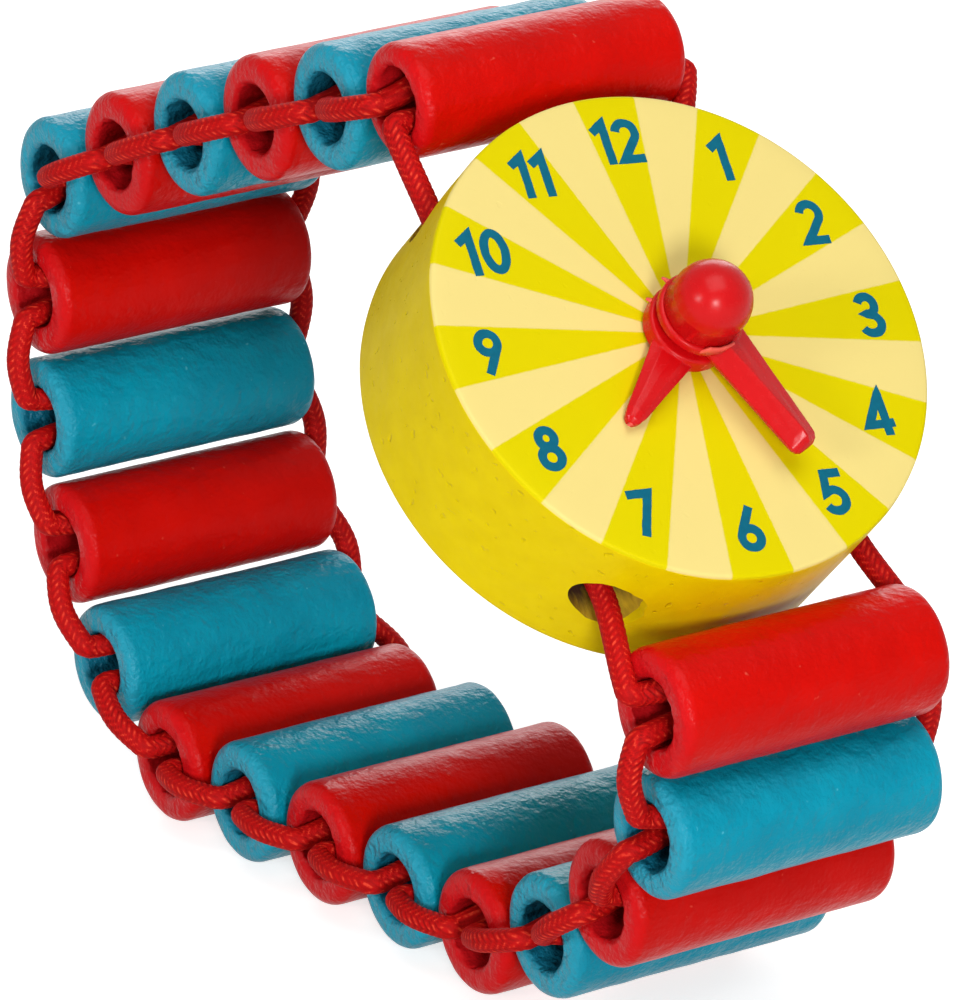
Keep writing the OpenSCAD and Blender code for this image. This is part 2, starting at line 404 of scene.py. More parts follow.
def tornBeech(look):
    material, tree, shader = newMaterial("boredBeechRaw")
    place = addNode(tree, "ShaderNodeTexCoord").outputs["Object"]
    drawn = addNode(tree, "ShaderNodeMapping", {"Vector": place, "Scale": (look["drawn"], 1.0, 1.0)})
    fibre = addNode(tree, "ShaderNodeTexNoise", {"Vector": drawn.outputs["Vector"],
                                                 "Scale": perMm(look["fibre"]), "Detail": 3.0})
    axes = addNode(tree, "ShaderNodeSeparateXYZ", {"Vector": place})
    away = addNode(tree, "ShaderNodeMath", {0: axes.outputs["X"]}, operation="ABSOLUTE")
    # darker with depth from the mouth: bare wood, and painted shade inside the channel
    inwards = addNode(tree, "ShaderNodeMapRange", {"Value": away.outputs["Value"], "From Min": mouthX,
                                                   "From Max": mouthX - look["stainDepth"] * mm,
                                                   "To Min": look["bare"][0], "To Max": look["bare"][1]})
    bare = addNode(tree, "ShaderNodeMath",
                   {0: fibre.outputs["Fac"], 1: look["fibreShare"], 2: inwards.outputs["Result"]},
                   operation="MULTIPLY_ADD", use_clamp=True)
    colour = addNode(tree, "ShaderNodeMix", {0: bare.outputs["Value"], 6: linear(look["stain"]),
                                             7: linear(look["darkWoodAndShade"])}, data_type="RGBA")
    bump = addNode(tree, "ShaderNodeBump", {"Height": fibre.outputs["Fac"], "Distance": look["relief"] * mm})
    plug(tree, shader, {"Base Color": colour.outputs[2], "Roughness": look["rough"],
                        "Normal": bump.outputs["Normal"]})
    return material


# Pad-print ink: a thin even film, a little glossier than the enamel under it
printInk = {"ink": "#00566E", "thin": "#046A82", "film": 0.5, "rough": 0.45, "gloss": 0.12}  # film in mm


def tealInk(look):
    material, tree, shader = newMaterial("padPrintInkTeal")
    place = addNode(tree, "ShaderNodeTexCoord").outputs["Object"]
    film = addNode(tree, "ShaderNodeTexNoise",
                   {"Vector": place, "Scale": perMm(look["film"]), "Detail": 3.0})
    colour = addNode(tree, "ShaderNodeMix", {0: film.outputs["Fac"], 6: linear(look["ink"]),
                                             7: linear(look["thin"])}, data_type="RGBA")
    plug(tree, shader, {"Base Color": colour.outputs[2], "Roughness": look["rough"],
                        "Specular IOR Level": look["gloss"]})
    return material


# Moulded polystyrene: smooth and softly shiny, with flow marks and faint scuffs, pale where it is thin
mouldedRed = {
    "body": "#C2040C", "pale": "#CA0E12", "strained": "#E85A4E",
    "rough": 0.20, "roughSpread": 0.12, "gloss": 0.18,
    "flow": 1.8,  # mm
    "scuff": 0.4,  # mm
    "relief": 0.03,  # mm
}


def mouldedPolystyrene(look):
    material, tree, shader = newMaterial("mouldedPolystyreneRed")
    place = addNode(tree, "ShaderNodeTexCoord").outputs["Object"]
    flow = addNode(tree, "ShaderNodeTexNoise",
                   {"Vector": place, "Scale": perMm(look["flow"]), "Detail": 3.0})
    colour = addNode(tree, "ShaderNodeMix", {0: flow.outputs["Fac"], 6: linear(look["body"]),
                                             7: linear(look["pale"])}, data_type="RGBA")
    thin = addNode(tree, "ShaderNodeAttribute", attribute_name="thin")
    strained = addNode(tree, "ShaderNodeMix", {0: thin.outputs["Fac"], 6: colour.outputs[2],
                                               7: linear(look["strained"])}, data_type="RGBA")
    scuff = addNode(tree, "ShaderNodeTexNoise",
                    {"Vector": place, "Scale": perMm(look["scuff"]), "Detail": 1.0})
    rough = addNode(tree, "ShaderNodeMath",
                    {0: scuff.outputs["Fac"], 1: look["roughSpread"], 2: look["rough"]},
                    operation="MULTIPLY_ADD")
    bump = addNode(tree, "ShaderNodeBump", {"Height": flow.outputs["Fac"], "Distance": look["relief"] * mm})
    plug(tree, shader, {"Base Color": strained.outputs[2], "Roughness": rough.outputs["Value"],
                        "Normal": bump.outputs["Normal"], "Specular IOR Level": look["gloss"]})
    return material


# Braided polyester over elastic: matt yarn in ribs, with painted shade between them and lighter flecks on
# top that are painted highlights
braidYarn = {
    "grooveShade": "#800406", "rib": "#C40A0A", "fleck": "#EC4A30", "rough": 0.65, "gloss": 0.12,
    "speck": 0.35,  # mm
    "lit": (0.42, 0.66),  # the noise where a fleck starts and where it is full
    "crest": (0.82, 1.0),  # the same for the height of the rib it lies on
    "yarn": 0.12,  # mm, coarser than real filaments, which are too fine to show
    "relief": 0.04,  # mm
}


def braidedElastic(look):
    material, tree, shader = newMaterial("braidedElasticRed")
    place = addNode(tree, "ShaderNodeTexCoord").outputs["Object"]
    rib = addNode(tree, "ShaderNodeAttribute", attribute_name="rib")
    # darker between the ribs: painted shade
    base = addNode(tree, "ShaderNodeMix", {0: rib.outputs["Fac"], 6: linear(look["grooveShade"]),
                                           7: linear(look["rib"])}, data_type="RGBA")
    speck = addNode(tree, "ShaderNodeTexNoise",
                    {"Vector": place, "Scale": perMm(look["speck"]), "Detail": 1.0})
    lit = addNode(tree, "ShaderNodeMapRange", {"Value": speck.outputs["Fac"], "From Min": look["lit"][0],
                                               "From Max": look["lit"][1]})
    crest = addNode(tree, "ShaderNodeMapRange", {"Value": rib.outputs["Fac"], "From Min": look["crest"][0],
                                                 "From Max": look["crest"][1]})
    top = addNode(tree, "ShaderNodeMath", {0: lit.outputs["Result"], 1: crest.outputs["Result"]},
                  operation="MULTIPLY")
    # flecks only on the rib tops: painted highlights
    colour = addNode(tree, "ShaderNodeMix", {0: top.outputs["Value"], 6: base.outputs[2],
                                             7: linear(look["fleck"])}, data_type="RGBA")
    yarn = addNode(tree, "ShaderNodeTexNoise",
                   {"Vector": place, "Scale": perMm(look["yarn"]), "Detail": 2.0})
    bump = addNode(tree, "ShaderNodeBump", {"Height": yarn.outputs["Fac"], "Distance": look["relief"] * mm})
    plug(tree, shader, {"Base Color": colour.outputs[2], "Roughness": look["rough"],
                        "Normal": bump.outputs["Normal"], "Specular IOR Level": look["gloss"]})
    return material


redPaint = enamelOnBeech(redEnamel, enamelGrain)
bluePaint = enamelOnBeech(blueEnamel, enamelGrain)
dialPaint = printedBeech(dialPrint)
rawBeech = tornBeech(boredBeech)
dialInk = tealInk(printInk)
redPlastic = mouldedPolystyrene(mouldedRed)
cordYarn = braidedElastic(braidYarn)
print("materials made")


# Beads

beadShape = {
    "edge": 0.85,  # mm, rounding of the outer edges
    "mouth": 0.45,  # mm, funnel where the drill broke the end
    "bore": 2.15,  # mm, radius
    "around": 96,
    "barrelRows": 32,
    "boreRows": 28,
    "edgeSteps": 8,
    "mouthSteps": 6,
    "waveRed": 0.03,  # mm, how far the paint's lumps stand out
    "waveBlue": 0.05,
    "lump": 2.6,  # mm across
    "pimple": 1.0,  # mm across, on the lumps
    "pimpleShare": 0.5,
    "sunk": 1.3,  # sets the lumps back, so that they stay about inside the turned size
    "torn": 0.24,  # mm, how rough the bore is
    "tear": 0.8,  # mm across
    "splinter": 0.4,  # mm across, on the tears
    "splinterShare": 0.6,
    "proud": 0.02,  # mm, how far a torn fibre stands into the bore at most, to clear the cord
    "slim": {0: 0.4},  # mm off the radius of a bead that was turned thin
}


def beadProfile(shape, radius, half):
    # a closed section as (radius, along, on the sawn end, in the bore), all in mm
    edge, mouth, bore = shape["edge"], shape["mouth"], shape["bore"]
    rows, inner = shape["barrelRows"], shape["boreRows"]
    straight = half - edge
    deep = half - mouth
    rounding = arcPoints((radius - edge, -straight), edge, 0, -90, shape["edgeSteps"])
    funnel = arcPoints((bore + mouth, -deep), mouth, 270, 180, shape["mouthSteps"])
    barrel = [(radius, straight - 2 * straight * k / rows, 0, 0) for k in range(1, rows)]
    end = [(r, y, k / shape["edgeSteps"], 0) for k, (r, y) in enumerate(rounding)]
    end.append(((radius - edge + bore + mouth) / 2, -half, 1, 0))
    end += [(r, y, 1, k / shape["mouthSteps"]) for k, (r, y) in enumerate(funnel)]
    hole = [(bore, -deep + 2 * deep * k / inner, 1, 1) for k in range(1, inner)]
    return barrel + end + hole + [(r, -y, e, b) for r, y, e, b in reversed(end)]


def makeBead(index, shape):
    name = beadNames[index]
    centre = beadCentres[index]
    isRed = index % 2 == 0
    wave = shape["waveRed"] if isRed else shape["waveBlue"]
    section = beadProfile(shape, beadRadius / mm - shape["slim"].get(index, 0), beadHalf / mm)
    around = shape["around"]
    verts, ends, bores = [], [], []
    for r, y, end, bore in section:
        for t in ringAngles(around):
            side = Vector((math.cos(t), 0, math.sin(t)))
            spot = side * r + Vector((0, y, 0))
            lump = ripple(spot, shape["lump"], index + 1)
            lump += ripple(spot, shape["pimple"], index + 7) * shape["pimpleShare"]
            ragged = ripple(spot, shape["tear"], index + 3)
            ragged += ripple(spot, shape["splinter"], index + 5) * shape["splinterShare"]
            cut = max(ragged * shape["torn"], -shape["proud"])
            push = wave * (lump - shape["sunk"]) * (1 - bore) + cut * bore
            # the barrel and the bore move sideways, the sawn end moves along the bead
            facing = side if end < 0.5 or bore > 0.5 else Vector((0, math.copysign(1, y), 0))
            verts.append(centre + (spot + facing * push) * mm)
            ends.append(end)
            bores.append(bore)
    bead = addPiece("painted_" + name, verts, ringFaces(len(section), around, True),
                    [redPaint if isRed else bluePaint])
    paintPoints(bead, "sawnEnd", ends)
    paintPoints(bead, "bore", bores)
    return dress(bead, name, "red_paint" if isRed else "blue_paint", name)


for beadIndex in range(len(beadNames)):
    makeBead(beadIndex, beadShape)
print("beads:", len(beadNames))


# Cord

cordShape = {
    "radius": 0.75,  # mm
    "off": 1.35,  # mm, a strand's distance from the axis of the bead it runs in
    "turnAt": 0.55,  # share of a bead's half length where a strand turns to the mouth
    "bend": 0.92,  # mm, radius of the bend from a bead to the next
    "bendAngles": (0, 25, 50),  # degrees, the points of a bend
    # mm, the bends to the disc, by bead and side
    "caseBends": {(0, -1): 0.9, (0, 1): 1.5, (18, -1): 0.95, (18, 1): 1.0},
    "loose": 0.12,  # share by which one bend is wider than another
    "looseSize": 5.0,  # mm, the size of the pattern that it comes from
    "bulge": 0.55,  # mm, how far a loop stands out beyond its two bends
    "inset": 3.0,  # mm from a channel's mouth to where the cord lies straight
    "gap": 0.15,  # mm, from the middle of a bead to the cord's cut
    "knotGap": 2.6,  # the same beside the knot
    "sides": 32,
    "fine": 0.115,  # mm between rings where the cord shows
    "coarse": 0.8,  # mm between rings inside a bead
    "showDepth": 3.2,  # mm that the cord shows into a bead
    "startAcross": (0.6, 0.1, 0.8),  # the way that the first side of a strand faces
    "ribPitch": 0.46,  # mm along the cord
    "ribHeight": 0.065,  # mm
    "columns": 4,  # plaits round the cord
    "slant": 1.0,  # ribs that a plait climbs from its edge to its middle
    "seam": 0.75,  # a rib's share of height where two plaits meet
}
knotShape = {
    "bead": 9,  # the index of the bead that it lies in
    "steps": 120,
    "open": 4,  # steps left open between the two ends
    "ring": 0.68,  # mm, mean radius
    "swing": 0.33,  # mm
    "inset": 0.9,  # mm from the ends of the knot to the middle of the cord
}


def flat(vector):
    return Vector((vector.x, 0, vector.z))


discMiddle = dialCentre - dialOut * channel["depth"] * mm
upperMouth = discMiddle - toSix * mouthX
lowerMouth = discMiddle + toSix * mouthX


def loopOut(index):
    # outwards from the loop at a bead, square to the line between its neighbours
    before = flat(beadCentres[index - 1] if index > 0 else upperMouth)
    after = flat(beadCentres[index + 1] if index + 1 < len(beadCentres) else lowerMouth)
    along = (after - before).normalized()
    return Vector((along.z, 0, -along.x))


def strand(index, towards, side, way, bend, shape):
    # control points in mm from the middle of a bead to its mouth and over its end
    centre = beadCentres[index] / mm
    half = beadHalf / mm
    off = shape["off"]
    go = (flat(towards) - flat(beadCentres[index])).normalized()
    out = loopOut(index) * way
    gap = shape["knotGap"] if index == knotShape["bead"] else shape["gap"]
    points = [centre + out * off + Vector((0, side * gap, 0)),
              centre + (out + go).normalized() * off + Vector((0, side * half * shape["turnAt"], 0))]
    for angle in shape["bendAngles"]:
        a = math.radians(angle)
        points.append(centre + go * (off + bend * (1 - math.cos(a)))
                      + Vector((0, side * (half + bend * math.sin(a)), 0)))
    return points


def smoothPath(points, shape, shows):
    # a curve through the points, with close rings only where it shows
    path = []
    for i in range(len(points) - 1):
        p0 = points[max(i - 1, 0)]
        p1, p2 = points[i], points[i + 1]
        p3 = points[min(i + 2, len(points) - 1)]
        span = (p2 - p1).length
        steps = max(1, round(span / (shape["fine"] if shows((p1 + p2) / 2) else shape["coarse"])))
        # tangents as long as this span, so that short and long spans meet without a kink
        m1 = (p2 - p0).normalized() * span
        m2 = (p3 - p1).normalized() * span
        for k in range(steps):
            t = k / steps
            path.append(p1 * (2 * t ** 3 - 3 * t * t + 1) + m1 * (t ** 3 - 2 * t * t + t)
                        + p2 * (3 * t * t - 2 * t ** 3) + m2 * (t ** 3 - t * t))
    path.append(points[-1])
    return path


def braidTube(path, shape):
    sides, count = shape["sides"], len(path)
    verts, ribs = [], []
    across = Vector(shape["startAcross"])
    run = 0.0
    for i, spot in enumerate(path):
        along = (path[min(i + 1, count - 1)] - path[max(i - 1, 0)]).normalized()
        across = (across - along * across.dot(along)).normalized()
        third = along.cross(across)
        run += (spot - path[i - 1]).length if i else 0.0
        for k in range(sides):
            t = k / sides
            plait = abs((t * shape["columns"]) % 1.0 - 0.5) * 2  # slants one way, then the other
            rib = abs(math.sin(math.pi * (run / shape["ribPitch"] + shape["slant"] * plait)))
            seam = min(1.0, 2 * min(plait, 1 - plait) + shape["seam"])
            height = math.sqrt(rib) * seam
            r = shape["radius"] - shape["ribHeight"] * (1 - height)
            angle = 2 * math.pi * t
            verts.append((spot + across * r * math.cos(angle) + third * r * math.sin(angle)) * mm)
            ribs.append(height)
    return verts, tubeFaces(count, sides), ribs


def cordPiece(name, paths, body, *nodes):
    tubes = [braidTube(path, cordShape) for path in paths]
    piece = addPiece(name, *joined([(verts, faces) for verts, faces, ribs in tubes]), [cordYarn])
    paintPoints(piece, "rib", [height for verts, faces, ribs in tubes for height in ribs])
    return dress(piece, body, "elastic_cord", *nodes)


def outsideBead(spot):
    return abs(spot.y) > beadHalf / mm - cordShape["showDepth"]


def linkPath(index, side, shape):
    loose = 1 + shape["loose"] * ripple(beadCentres[index] / mm, shape["looseSize"], 2 + side)
    bend = shape["bend"] * loose
    first = strand(index, beadCentres[index + 1], side, -side, bend, shape)
    second = strand(index + 1, beadCentres[index], side, side, bend, shape)
    middle = (first[-1] + second[-1]) / 2 + Vector((0, side * shape["bulge"] * loose, 0))
    return smoothPath(first + [middle] + second[::-1], shape, outsideBead)


def caseCordPath(side, shape):
    last = len(beadCentres) - 1
    bends = shape["caseBends"]
    first = strand(0, upperMouth, side, side, bends[0, side], shape)
    second = strand(last, lowerMouth, side, -side, bends[last, side], shape)
    shift = Vector((0, side * channel["y"], 0))
    inset = toSix * shape["inset"]
    upper = flat(upperMouth) / mm + shift
    lower = flat(lowerMouth) / mm + shift
    inside = [upper, upper + inset, lower - inset, lower]
    return smoothPath(first + inside + second[::-1], shape, lambda spot: True)


for linkIndex in range(len(beadCentres) - 1):
    linkName = "cord_link_%02d" % (linkIndex + 1)
    linkPaths = [linkPath(linkIndex, side, cordShape) for side in (-1, 1)]
    cordPiece("braid_" + linkName, linkPaths, linkName, linkName)
for cordName, cordSide in (("case_cord_left", -1), ("case_cord_right", 1)):
    cordPiece("braid_" + cordName, [caseCordPath(cordSide, cordShape)], "case", cordName)


def makeKnot(shape):
    # an overhand knot in the middle bead, drawn tight: twice round, with three swings
    low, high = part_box("cord_knot")
    centre, size = (low + high) / 2 / mm, (high - low) / mm
    path = []
    for k in range(shape["steps"] - shape["open"]):
        t = 2 * math.pi * k / shape["steps"]
        ring = shape["ring"] + shape["swing"] * math.cos(3 * t)
        path.append(centre + Vector((ring * math.cos(2 * t), math.sin(3 * t) * (size.y / 2 - shape["inset"]),
                                     ring * math.sin(2 * t))))
    return cordPiece("braid_cord_knot", [path], "cord_link_09", "cord_knot")


makeKnot(knotShape)
print("cord laced")


# Disc

discShape = {
    "around": 192,
    "edge": 0.3,  # mm, rounding of both rims
    "edgeSteps": 6,
    "faceRows": 12,
    "sideRows": 20,
    "wave": 0.04,  # mm, how far the paint's lumps stand out on the side
    "lump": 3.5,  # mm across
    "sunk": 0.6,  # sets the lumps back, so that the highest about reach the turned size
    "calm": 0.1,  # mm from a face where the lumps stop
    "sharp": 40,  # degrees
}
drillShape = {
    "around": 44,
    "past": 2.0,  # mm that the drill goes past the disc
    "mouthRows": (-0.6, 0.2, 0.6, 1.0, 1.6),  # mm inwards from the mouth
    "innerRows": (-4, 0, 4),  # mm from the middle of the disc
    "flare": 0.3,  # mm wider at the mouth
    "flareDepth": 1.6,  # mm
    "flareCurve": 1.5,
    "chip": 0.22,  # mm, how ragged the flare is
    "chipSize": 0.7,  # mm
    "chipDrawn": 0.5,  # the pattern's scale along the channel, which makes the chips long
    "chipRing": 2.0,  # mm, the radius that the pattern is taken at
    "bareOut": 0.5,  # mm outwards from the mouth that still cuts bare wood
}


def makeDrill(side, shape):
    # the channel's drill, with a ragged flare where it broke out of the round side
    reach = discRadius / mm + shape["past"]
    mouth = mouthX / mm
    rows = [-reach] + [-mouth + x for x in shape["mouthRows"]]
    stations = rows + list(shape["innerRows"]) + [-x for x in reversed(rows)]
    around, ring = shape["around"], shape["chipRing"]
    verts = []
    for x in stations:
        out = max(0.0, 1 - max(0.0, mouth - abs(x)) / shape["flareDepth"]) ** shape["flareCurve"]
        for t in ringAngles(around):
            at = Vector((x * shape["chipDrawn"], math.cos(t) * ring, math.sin(t) * ring))
            ragged = ripple(at, shape["chipSize"], 4 + side) * shape["chip"]
            r = channel["radius"] + out * (shape["flare"] + ragged)
            y, z = side * channel["y"] + r * math.cos(t), -channel["depth"] + r * math.sin(t)
            verts.append(Vector((x, y, z)) * mm)
    drill = addPiece("drill", verts, tubeFaces(len(stations), around), [dialPaint, rawBeech], dialPlace)
    for face in drill.data.polygons:
        face.material_index = 1 if abs(face.center.x) < mouthX + shape["bareOut"] * mm else 0
    return drill


def makeDisc(shape):
    radius = discRadius / mm
    thick = 2 * channel["depth"]
    edge, steps = shape["edge"], shape["edgeSteps"]
    faceRows, sideRows = shape["faceRows"], shape["sideRows"]
    section = [(radius * k / faceRows, 0.0) for k in range(1, faceRows)]
    section += arcPoints((radius - edge, -edge), edge, 90, 0, steps)
    section += [(radius, -edge - (thick - 2 * edge) * k / sideRows) for k in range(1, sideRows)]
    section += arcPoints((radius - edge, -thick + edge), edge, 0, -90, steps)
    section += [(radius * k / faceRows, -thick) for k in range(faceRows - 1, 0, -1)]
    around = shape["around"]
    verts = []
    for r, z in section:
        onSide = 1.0 if -thick + shape["calm"] < z < -shape["calm"] else 0.0
        for t in ringAngles(around):
            side = Vector((math.cos(t), math.sin(t), 0))
            spot = side * r + Vector((0, 0, z))
            lump = ripple(spot, shape["lump"], 5) - shape["sunk"]
            verts.append((spot + side * onSide * lump * shape["wave"]) * mm)
    disc = addPiece("printed_case_disc", verts, tubeFaces(len(section), around), [dialPaint, rawBeech],
                    dialPlace)
    for side in (-1, 1):
        cutter = makeDrill(side, drillShape)
        cut = disc.modifiers.new("drill", "BOOLEAN")
        cut.object = cutter
        cut.solver = "EXACT"
        settle(disc)
        bpy.data.objects.remove(cutter)
    disc.data.shade_smooth()
    disc.data.set_sharp_from_angle(angle=math.radians(shape["sharp"]))
    return dress(disc, "case", "yellow_paint", "case_disc")


makeDisc(discShape)
print("disc turned and drilled")


# Numerals

numerals = {
    "height": 2.95,  # mm, as are the next six
    "stroke": 0.56,
    "ring": 12.85,  # radius that the numerals stand on
    "space": 0.30,
    "film": 0.03,  # how thick the ink lies
    "root": 0.01,  # how far it goes into the paint
    "step": 0.2,  # between points along a stroke
    "shake": 0.03,  # mm, how far the ink's edge wanders
    "shakeSize": 0.5,  # mm
    "mitre": 2.2,  # how far a corner reaches at most, in half strokes
    "straight": 0.01,  # a bend under this needs no corner
    "closes": 0.001,  # mm between the ends of a closed stroke
    "merge": 0.0005,  # mm, points this close are one
    "sharp": 35,  # degrees
}
bowStep = 9  # degrees between the points of a bow


def bow(cx, cy, rx, ry, start, stop):
    steps = round(abs(stop - start) / bowStep)
    angles = [math.radians(start + (stop - start) * k / steps) for k in range(steps + 1)]
    return [(cx + rx * math.cos(a), cy + ry * math.sin(a)) for a in angles]


# each figure as its width and its strokes, in shares of the figure's height
figures = {
    "0": (0.62, [bow(0.31, 0.5, 0.22, 0.41, 90, 450)]),
    "1": (0.36, [[(0.0, 0.74), (0.27, 0.92), (0.27, 0.0)]]),
    "2": (0.60, [bow(0.29, 0.68, 0.22, 0.23, 168, -38) + [(0.10, 0.086), (0.58, 0.086)]]),
    "3": (0.56, [bow(0.26, 0.71, 0.19, 0.20, 158, -62) + [(0.22, 0.52)]
                 + bow(0.26, 0.295, 0.225, 0.21, 66, -156)]),
    "4": (0.66, [[(0.45, 0.0), (0.45, 0.93), (0.05, 0.26), (0.64, 0.26)]]),
    "5": (0.58, [[(0.54, 0.914), (0.17, 0.914), (0.11, 0.5)] + bow(0.26, 0.315, 0.235, 0.23, 118, -152)]),
    "6": (0.60, [bow(0.30, 0.295, 0.21, 0.21, 150, 510), [(0.45, 0.97), (0.118, 0.40)]]),
    "7": (0.58, [[(0.02, 0.914), (0.50, 0.914), (0.18, 0.0)]]),
    "8": (0.58, [bow(0.29, 0.715, 0.17, 0.175, 90, 450), bow(0.29, 0.295, 0.21, 0.21, 90, 450)]),
    "9": (0.60, [bow(0.29, 0.705, 0.21, 0.21, 150, 510), [(0.14, 0.03), (0.472, 0.60)]]),
}


def fillIn(points, step):
    dense = []
    for a, b in zip(points, points[1:]):
        steps = max(1, round((b - a).length / step))
        dense += [a + (b - a) * k / steps for k in range(steps)]
    return dense + [points[-1]]


def strokeParts(points, look):
    # a box for each short length of a stroke, and a kite that fills the outside of each bend
    half = look["stroke"] / 2
    closed = (points[0] - points[-1]).length < look["closes"]
    lengths = [(b - a).normalized() for a, b in zip(points, points[1:])]
    squares = [Vector((-d.y, d.x)) for d in lengths]
    parts = []
    for a, b, n in zip(points, points[1:], squares):
        parts.append([a + n * half, a - n * half, b - n * half, b + n * half])
    for i in range(len(lengths) if closed else len(lengths) - 1):
        j = (i + 1) % len(lengths)
        bend = lengths[i].x * lengths[j].y - lengths[i].y * lengths[j].x
        if abs(bend) < look["straight"]:
            continue
        spot = points[i + 1]
        outer = -math.copysign(half, bend)
        middle = (squares[i] + squares[j]).normalized()
        lean = middle.dot(squares[i])
        reach = min(1 / lean, look["mitre"]) if lean > 0 else look["mitre"]
        kite = [spot, spot + squares[i] * outer, spot + middle * outer * reach, spot + squares[j] * outer]
        parts.append(kite if bend > 0 else kite[::-1])
    return parts


def within(spot, part):
    # a part is convex, with its corners counter-clockwise
    return all((b - a).cross(spot - a) >= 0 for a, b in zip(part, part[1:] + part[:1]))


def inkFilm(parts, look):
    # the parts as one flat outline, a film thick
    spots = [spot for part in parts for spot in part]
    ids, start = [], 0
    for part in parts:
        ids.append(list(range(start, start + len(part))))
        start += len(part)
    flatSpots, _, triangles, _, _, _ = geometry.delaunay_2d_cdt(spots, [], ids, 0, look["merge"])
    middles = [sum((flatSpots[k] for k in t), Vector((0, 0))) / 3 for t in triangles]
    kept = [t for t, middle in zip(triangles, middles) if any(within(middle, part) for part in parts)]
    wet = []
    for spot in flatSpots:
        at = Vector((spot.x, spot.y, 0))
        wander = Vector((ripple(at, look["shakeSize"], 3), ripple(at, look["shakeSize"], 8)))
        wet.append(spot + wander * look["shake"])
    count = len(wet)
    verts = [Vector((s.x, s.y, z)) * mm for z in (look["film"], -look["root"]) for s in wet]
    faces = [tuple(t) for t in kept] + [tuple(k + count for k in reversed(t)) for t in kept]
    edges = {}
    for t in kept:
        for a, b in zip(t, list(t[1:]) + [t[0]]):
            edges[a, b] = True
    faces += [(b, a, a + count, b + count) for a, b in edges if (b, a) not in edges]
    return verts, faces


def makeNumerals(look):
    films = []
    turn = math.radians(dialPrint["turn"])
    up = Vector((-math.cos(turn), math.sin(turn)))
    right = Vector((math.sin(turn), math.cos(turn)))
    for hour in range(1, 13):
        angle = math.radians(30 * hour)
        middle = (up * math.cos(angle) + right * math.sin(angle)) * look["ring"]
        digits = str(hour)
        widths = [figures[d][0] * look["height"] for d in digits]
        start = -(sum(widths) + look["space"] * (len(digits) - 1)) / 2
        for digit, width in zip(digits, widths):
            parts = []
            for stroke in figures[digit][1]:
                spots = [middle + right * (start + x * look["height"]) + up * ((y - 0.5) * look["height"])
                         for x, y in stroke]
                parts += strokeParts(fillIn(spots, look["step"]), look)
            films.append(inkFilm(parts, look))
            start += width + look["space"]
    ink = addPiece("printed_numerals", *joined(films), [dialInk], dialPlace)
    bm = bmesh.new()
    bm.from_mesh(ink.data)
    bmesh.ops.delete(bm, geom=[v for v in bm.verts if not v.link_faces], context="VERTS")
    bm.to_mesh(ink.data)
    bm.free()
    ink.data.set_sharp_from_angle(angle=math.radians(look["sharp"]))
    return dress(ink, "case", None)


makeNumerals(numerals)
print("numerals printed")


# Hands and pin

# stations along an arm: distance from the pin, then the left edge, the crown and the right edge as
# (across, height), all in mm over the hand's underside
# a sliver of flash: distance from the pin, degrees from the arm, height, length and sideways curl
minuteHand = {
    "body": "minute_hand", "z": 1.54, "hub": 2.68, "foot": 2.2, "hubHeight": 1.25, "crown": 0.0,
    "arm": [(1.75, (-1.20, 0.45), (-0.33, 1.45), (1.90, 0.80)),
            (5.5, (-1.06, 0.42), (-0.10, 1.36), (1.46, 0.78)),
            (9.1, (-0.93, 0.40), (0.10, 1.24), (1.08, 0.74)),
            (9.55, (-0.90, 0.39), (0.12, 1.12), (1.03, 0.70)),
            (9.85, (-0.74, 0.34), (0.15, 0.86), (0.88, 0.58)),
            (10.03, (-0.42, 0.26), (0.18, 0.52), (0.56, 0.42))],
    "flash": [(2.66, 186, 1.0, 0.40, 0.22)],
    "lip": {"start": -46, "stop": 12, "radius": 2.54, "low": 1.0, "high": 1.70, "end": 1.50},
}
hourHand = {
    "body": "hour_hand", "z": 0.2, "hub": 2.72, "foot": 2.72, "hubHeight": 1.26, "crown": 0.5,
    "arm": [(1.75, (-1.55, 0.72), (0.0, 1.12), (1.50, 0.72)),
            (4.8, (-1.06, 0.68), (0.0, 1.04), (1.02, 0.68)),
            (7.2, (-0.70, 0.62), (0.0, 0.90), (0.68, 0.62)),
            (7.75, (-0.52, 0.50), (0.0, 0.70), (0.50, 0.50)),
            (8.02, (-0.24, 0.34), (0.0, 0.44), (0.22, 0.34))],
    "flash": [(7.94, 0.6, 0.32, 0.36, -0.16), (2.7, 274, 0.95, 0.36, 0.18)],
}
handMould = {
    "voxel": 0.04,  # mm
    "smooth": 14,  # passes
    "smoothShare": 0.5,
    "bore": 1.26,  # mm, radius
    "around": 96,
    "footEdge": (0.1, 0.12),  # mm in and up, at the hub's lower edge
    "waist": 0.7,  # mm up to where the hub is at its widest
    "hubEdge": (0.2, 0.06),  # mm, the bevel of the hub's upper edge and its middle
    "under": 0.86,  # share of an arm's width at its underside
    "shoulder": 0.6,  # how far a round crown lifts an arm's shoulders
    "tipShare": 0.9,  # of a hand's reach, from where it counts as its tip
}
flashShape = {
    "rows": 7,
    "root": 0.15,  # mm into the hand
    "lift": 0.25,  # share of its length that the end bends up
    "wide": (0.16, 0.1),  # mm, what tapers away and what is left at the end
    "thick": (0.08, 0.04),
}
lipShape = {
    "rings": 25,
    "ramp": 6,  # how steeply the lip rises at both ends
    "stub": 0.1,  # share of its height that an end starts with
    "ragged": 0.06,  # mm
    "tear": 0.3,  # mm
    "tearRing": 2.5,  # mm, the radius that the pattern is taken at
    "foot": 0.2,  # mm thick
    "rim": ((0.18, 0.08), (0.1, 0.0), (0.0, 0.05)),  # mm outwards, and down from the top
}


def handTurn(name):
    # where the hand points in the dial's frame, from the end of its arm
    spots = [dialPlace.inverted() @ v.co for v in frame["nodes"][name].data.vertices]
    reach = max(math.hypot(v.x, v.y) for v in spots)
    tip = sum((v for v in spots if math.hypot(v.x, v.y) > handMould["tipShare"] * reach), Vector())
    return math.atan2(tip.y, tip.x)


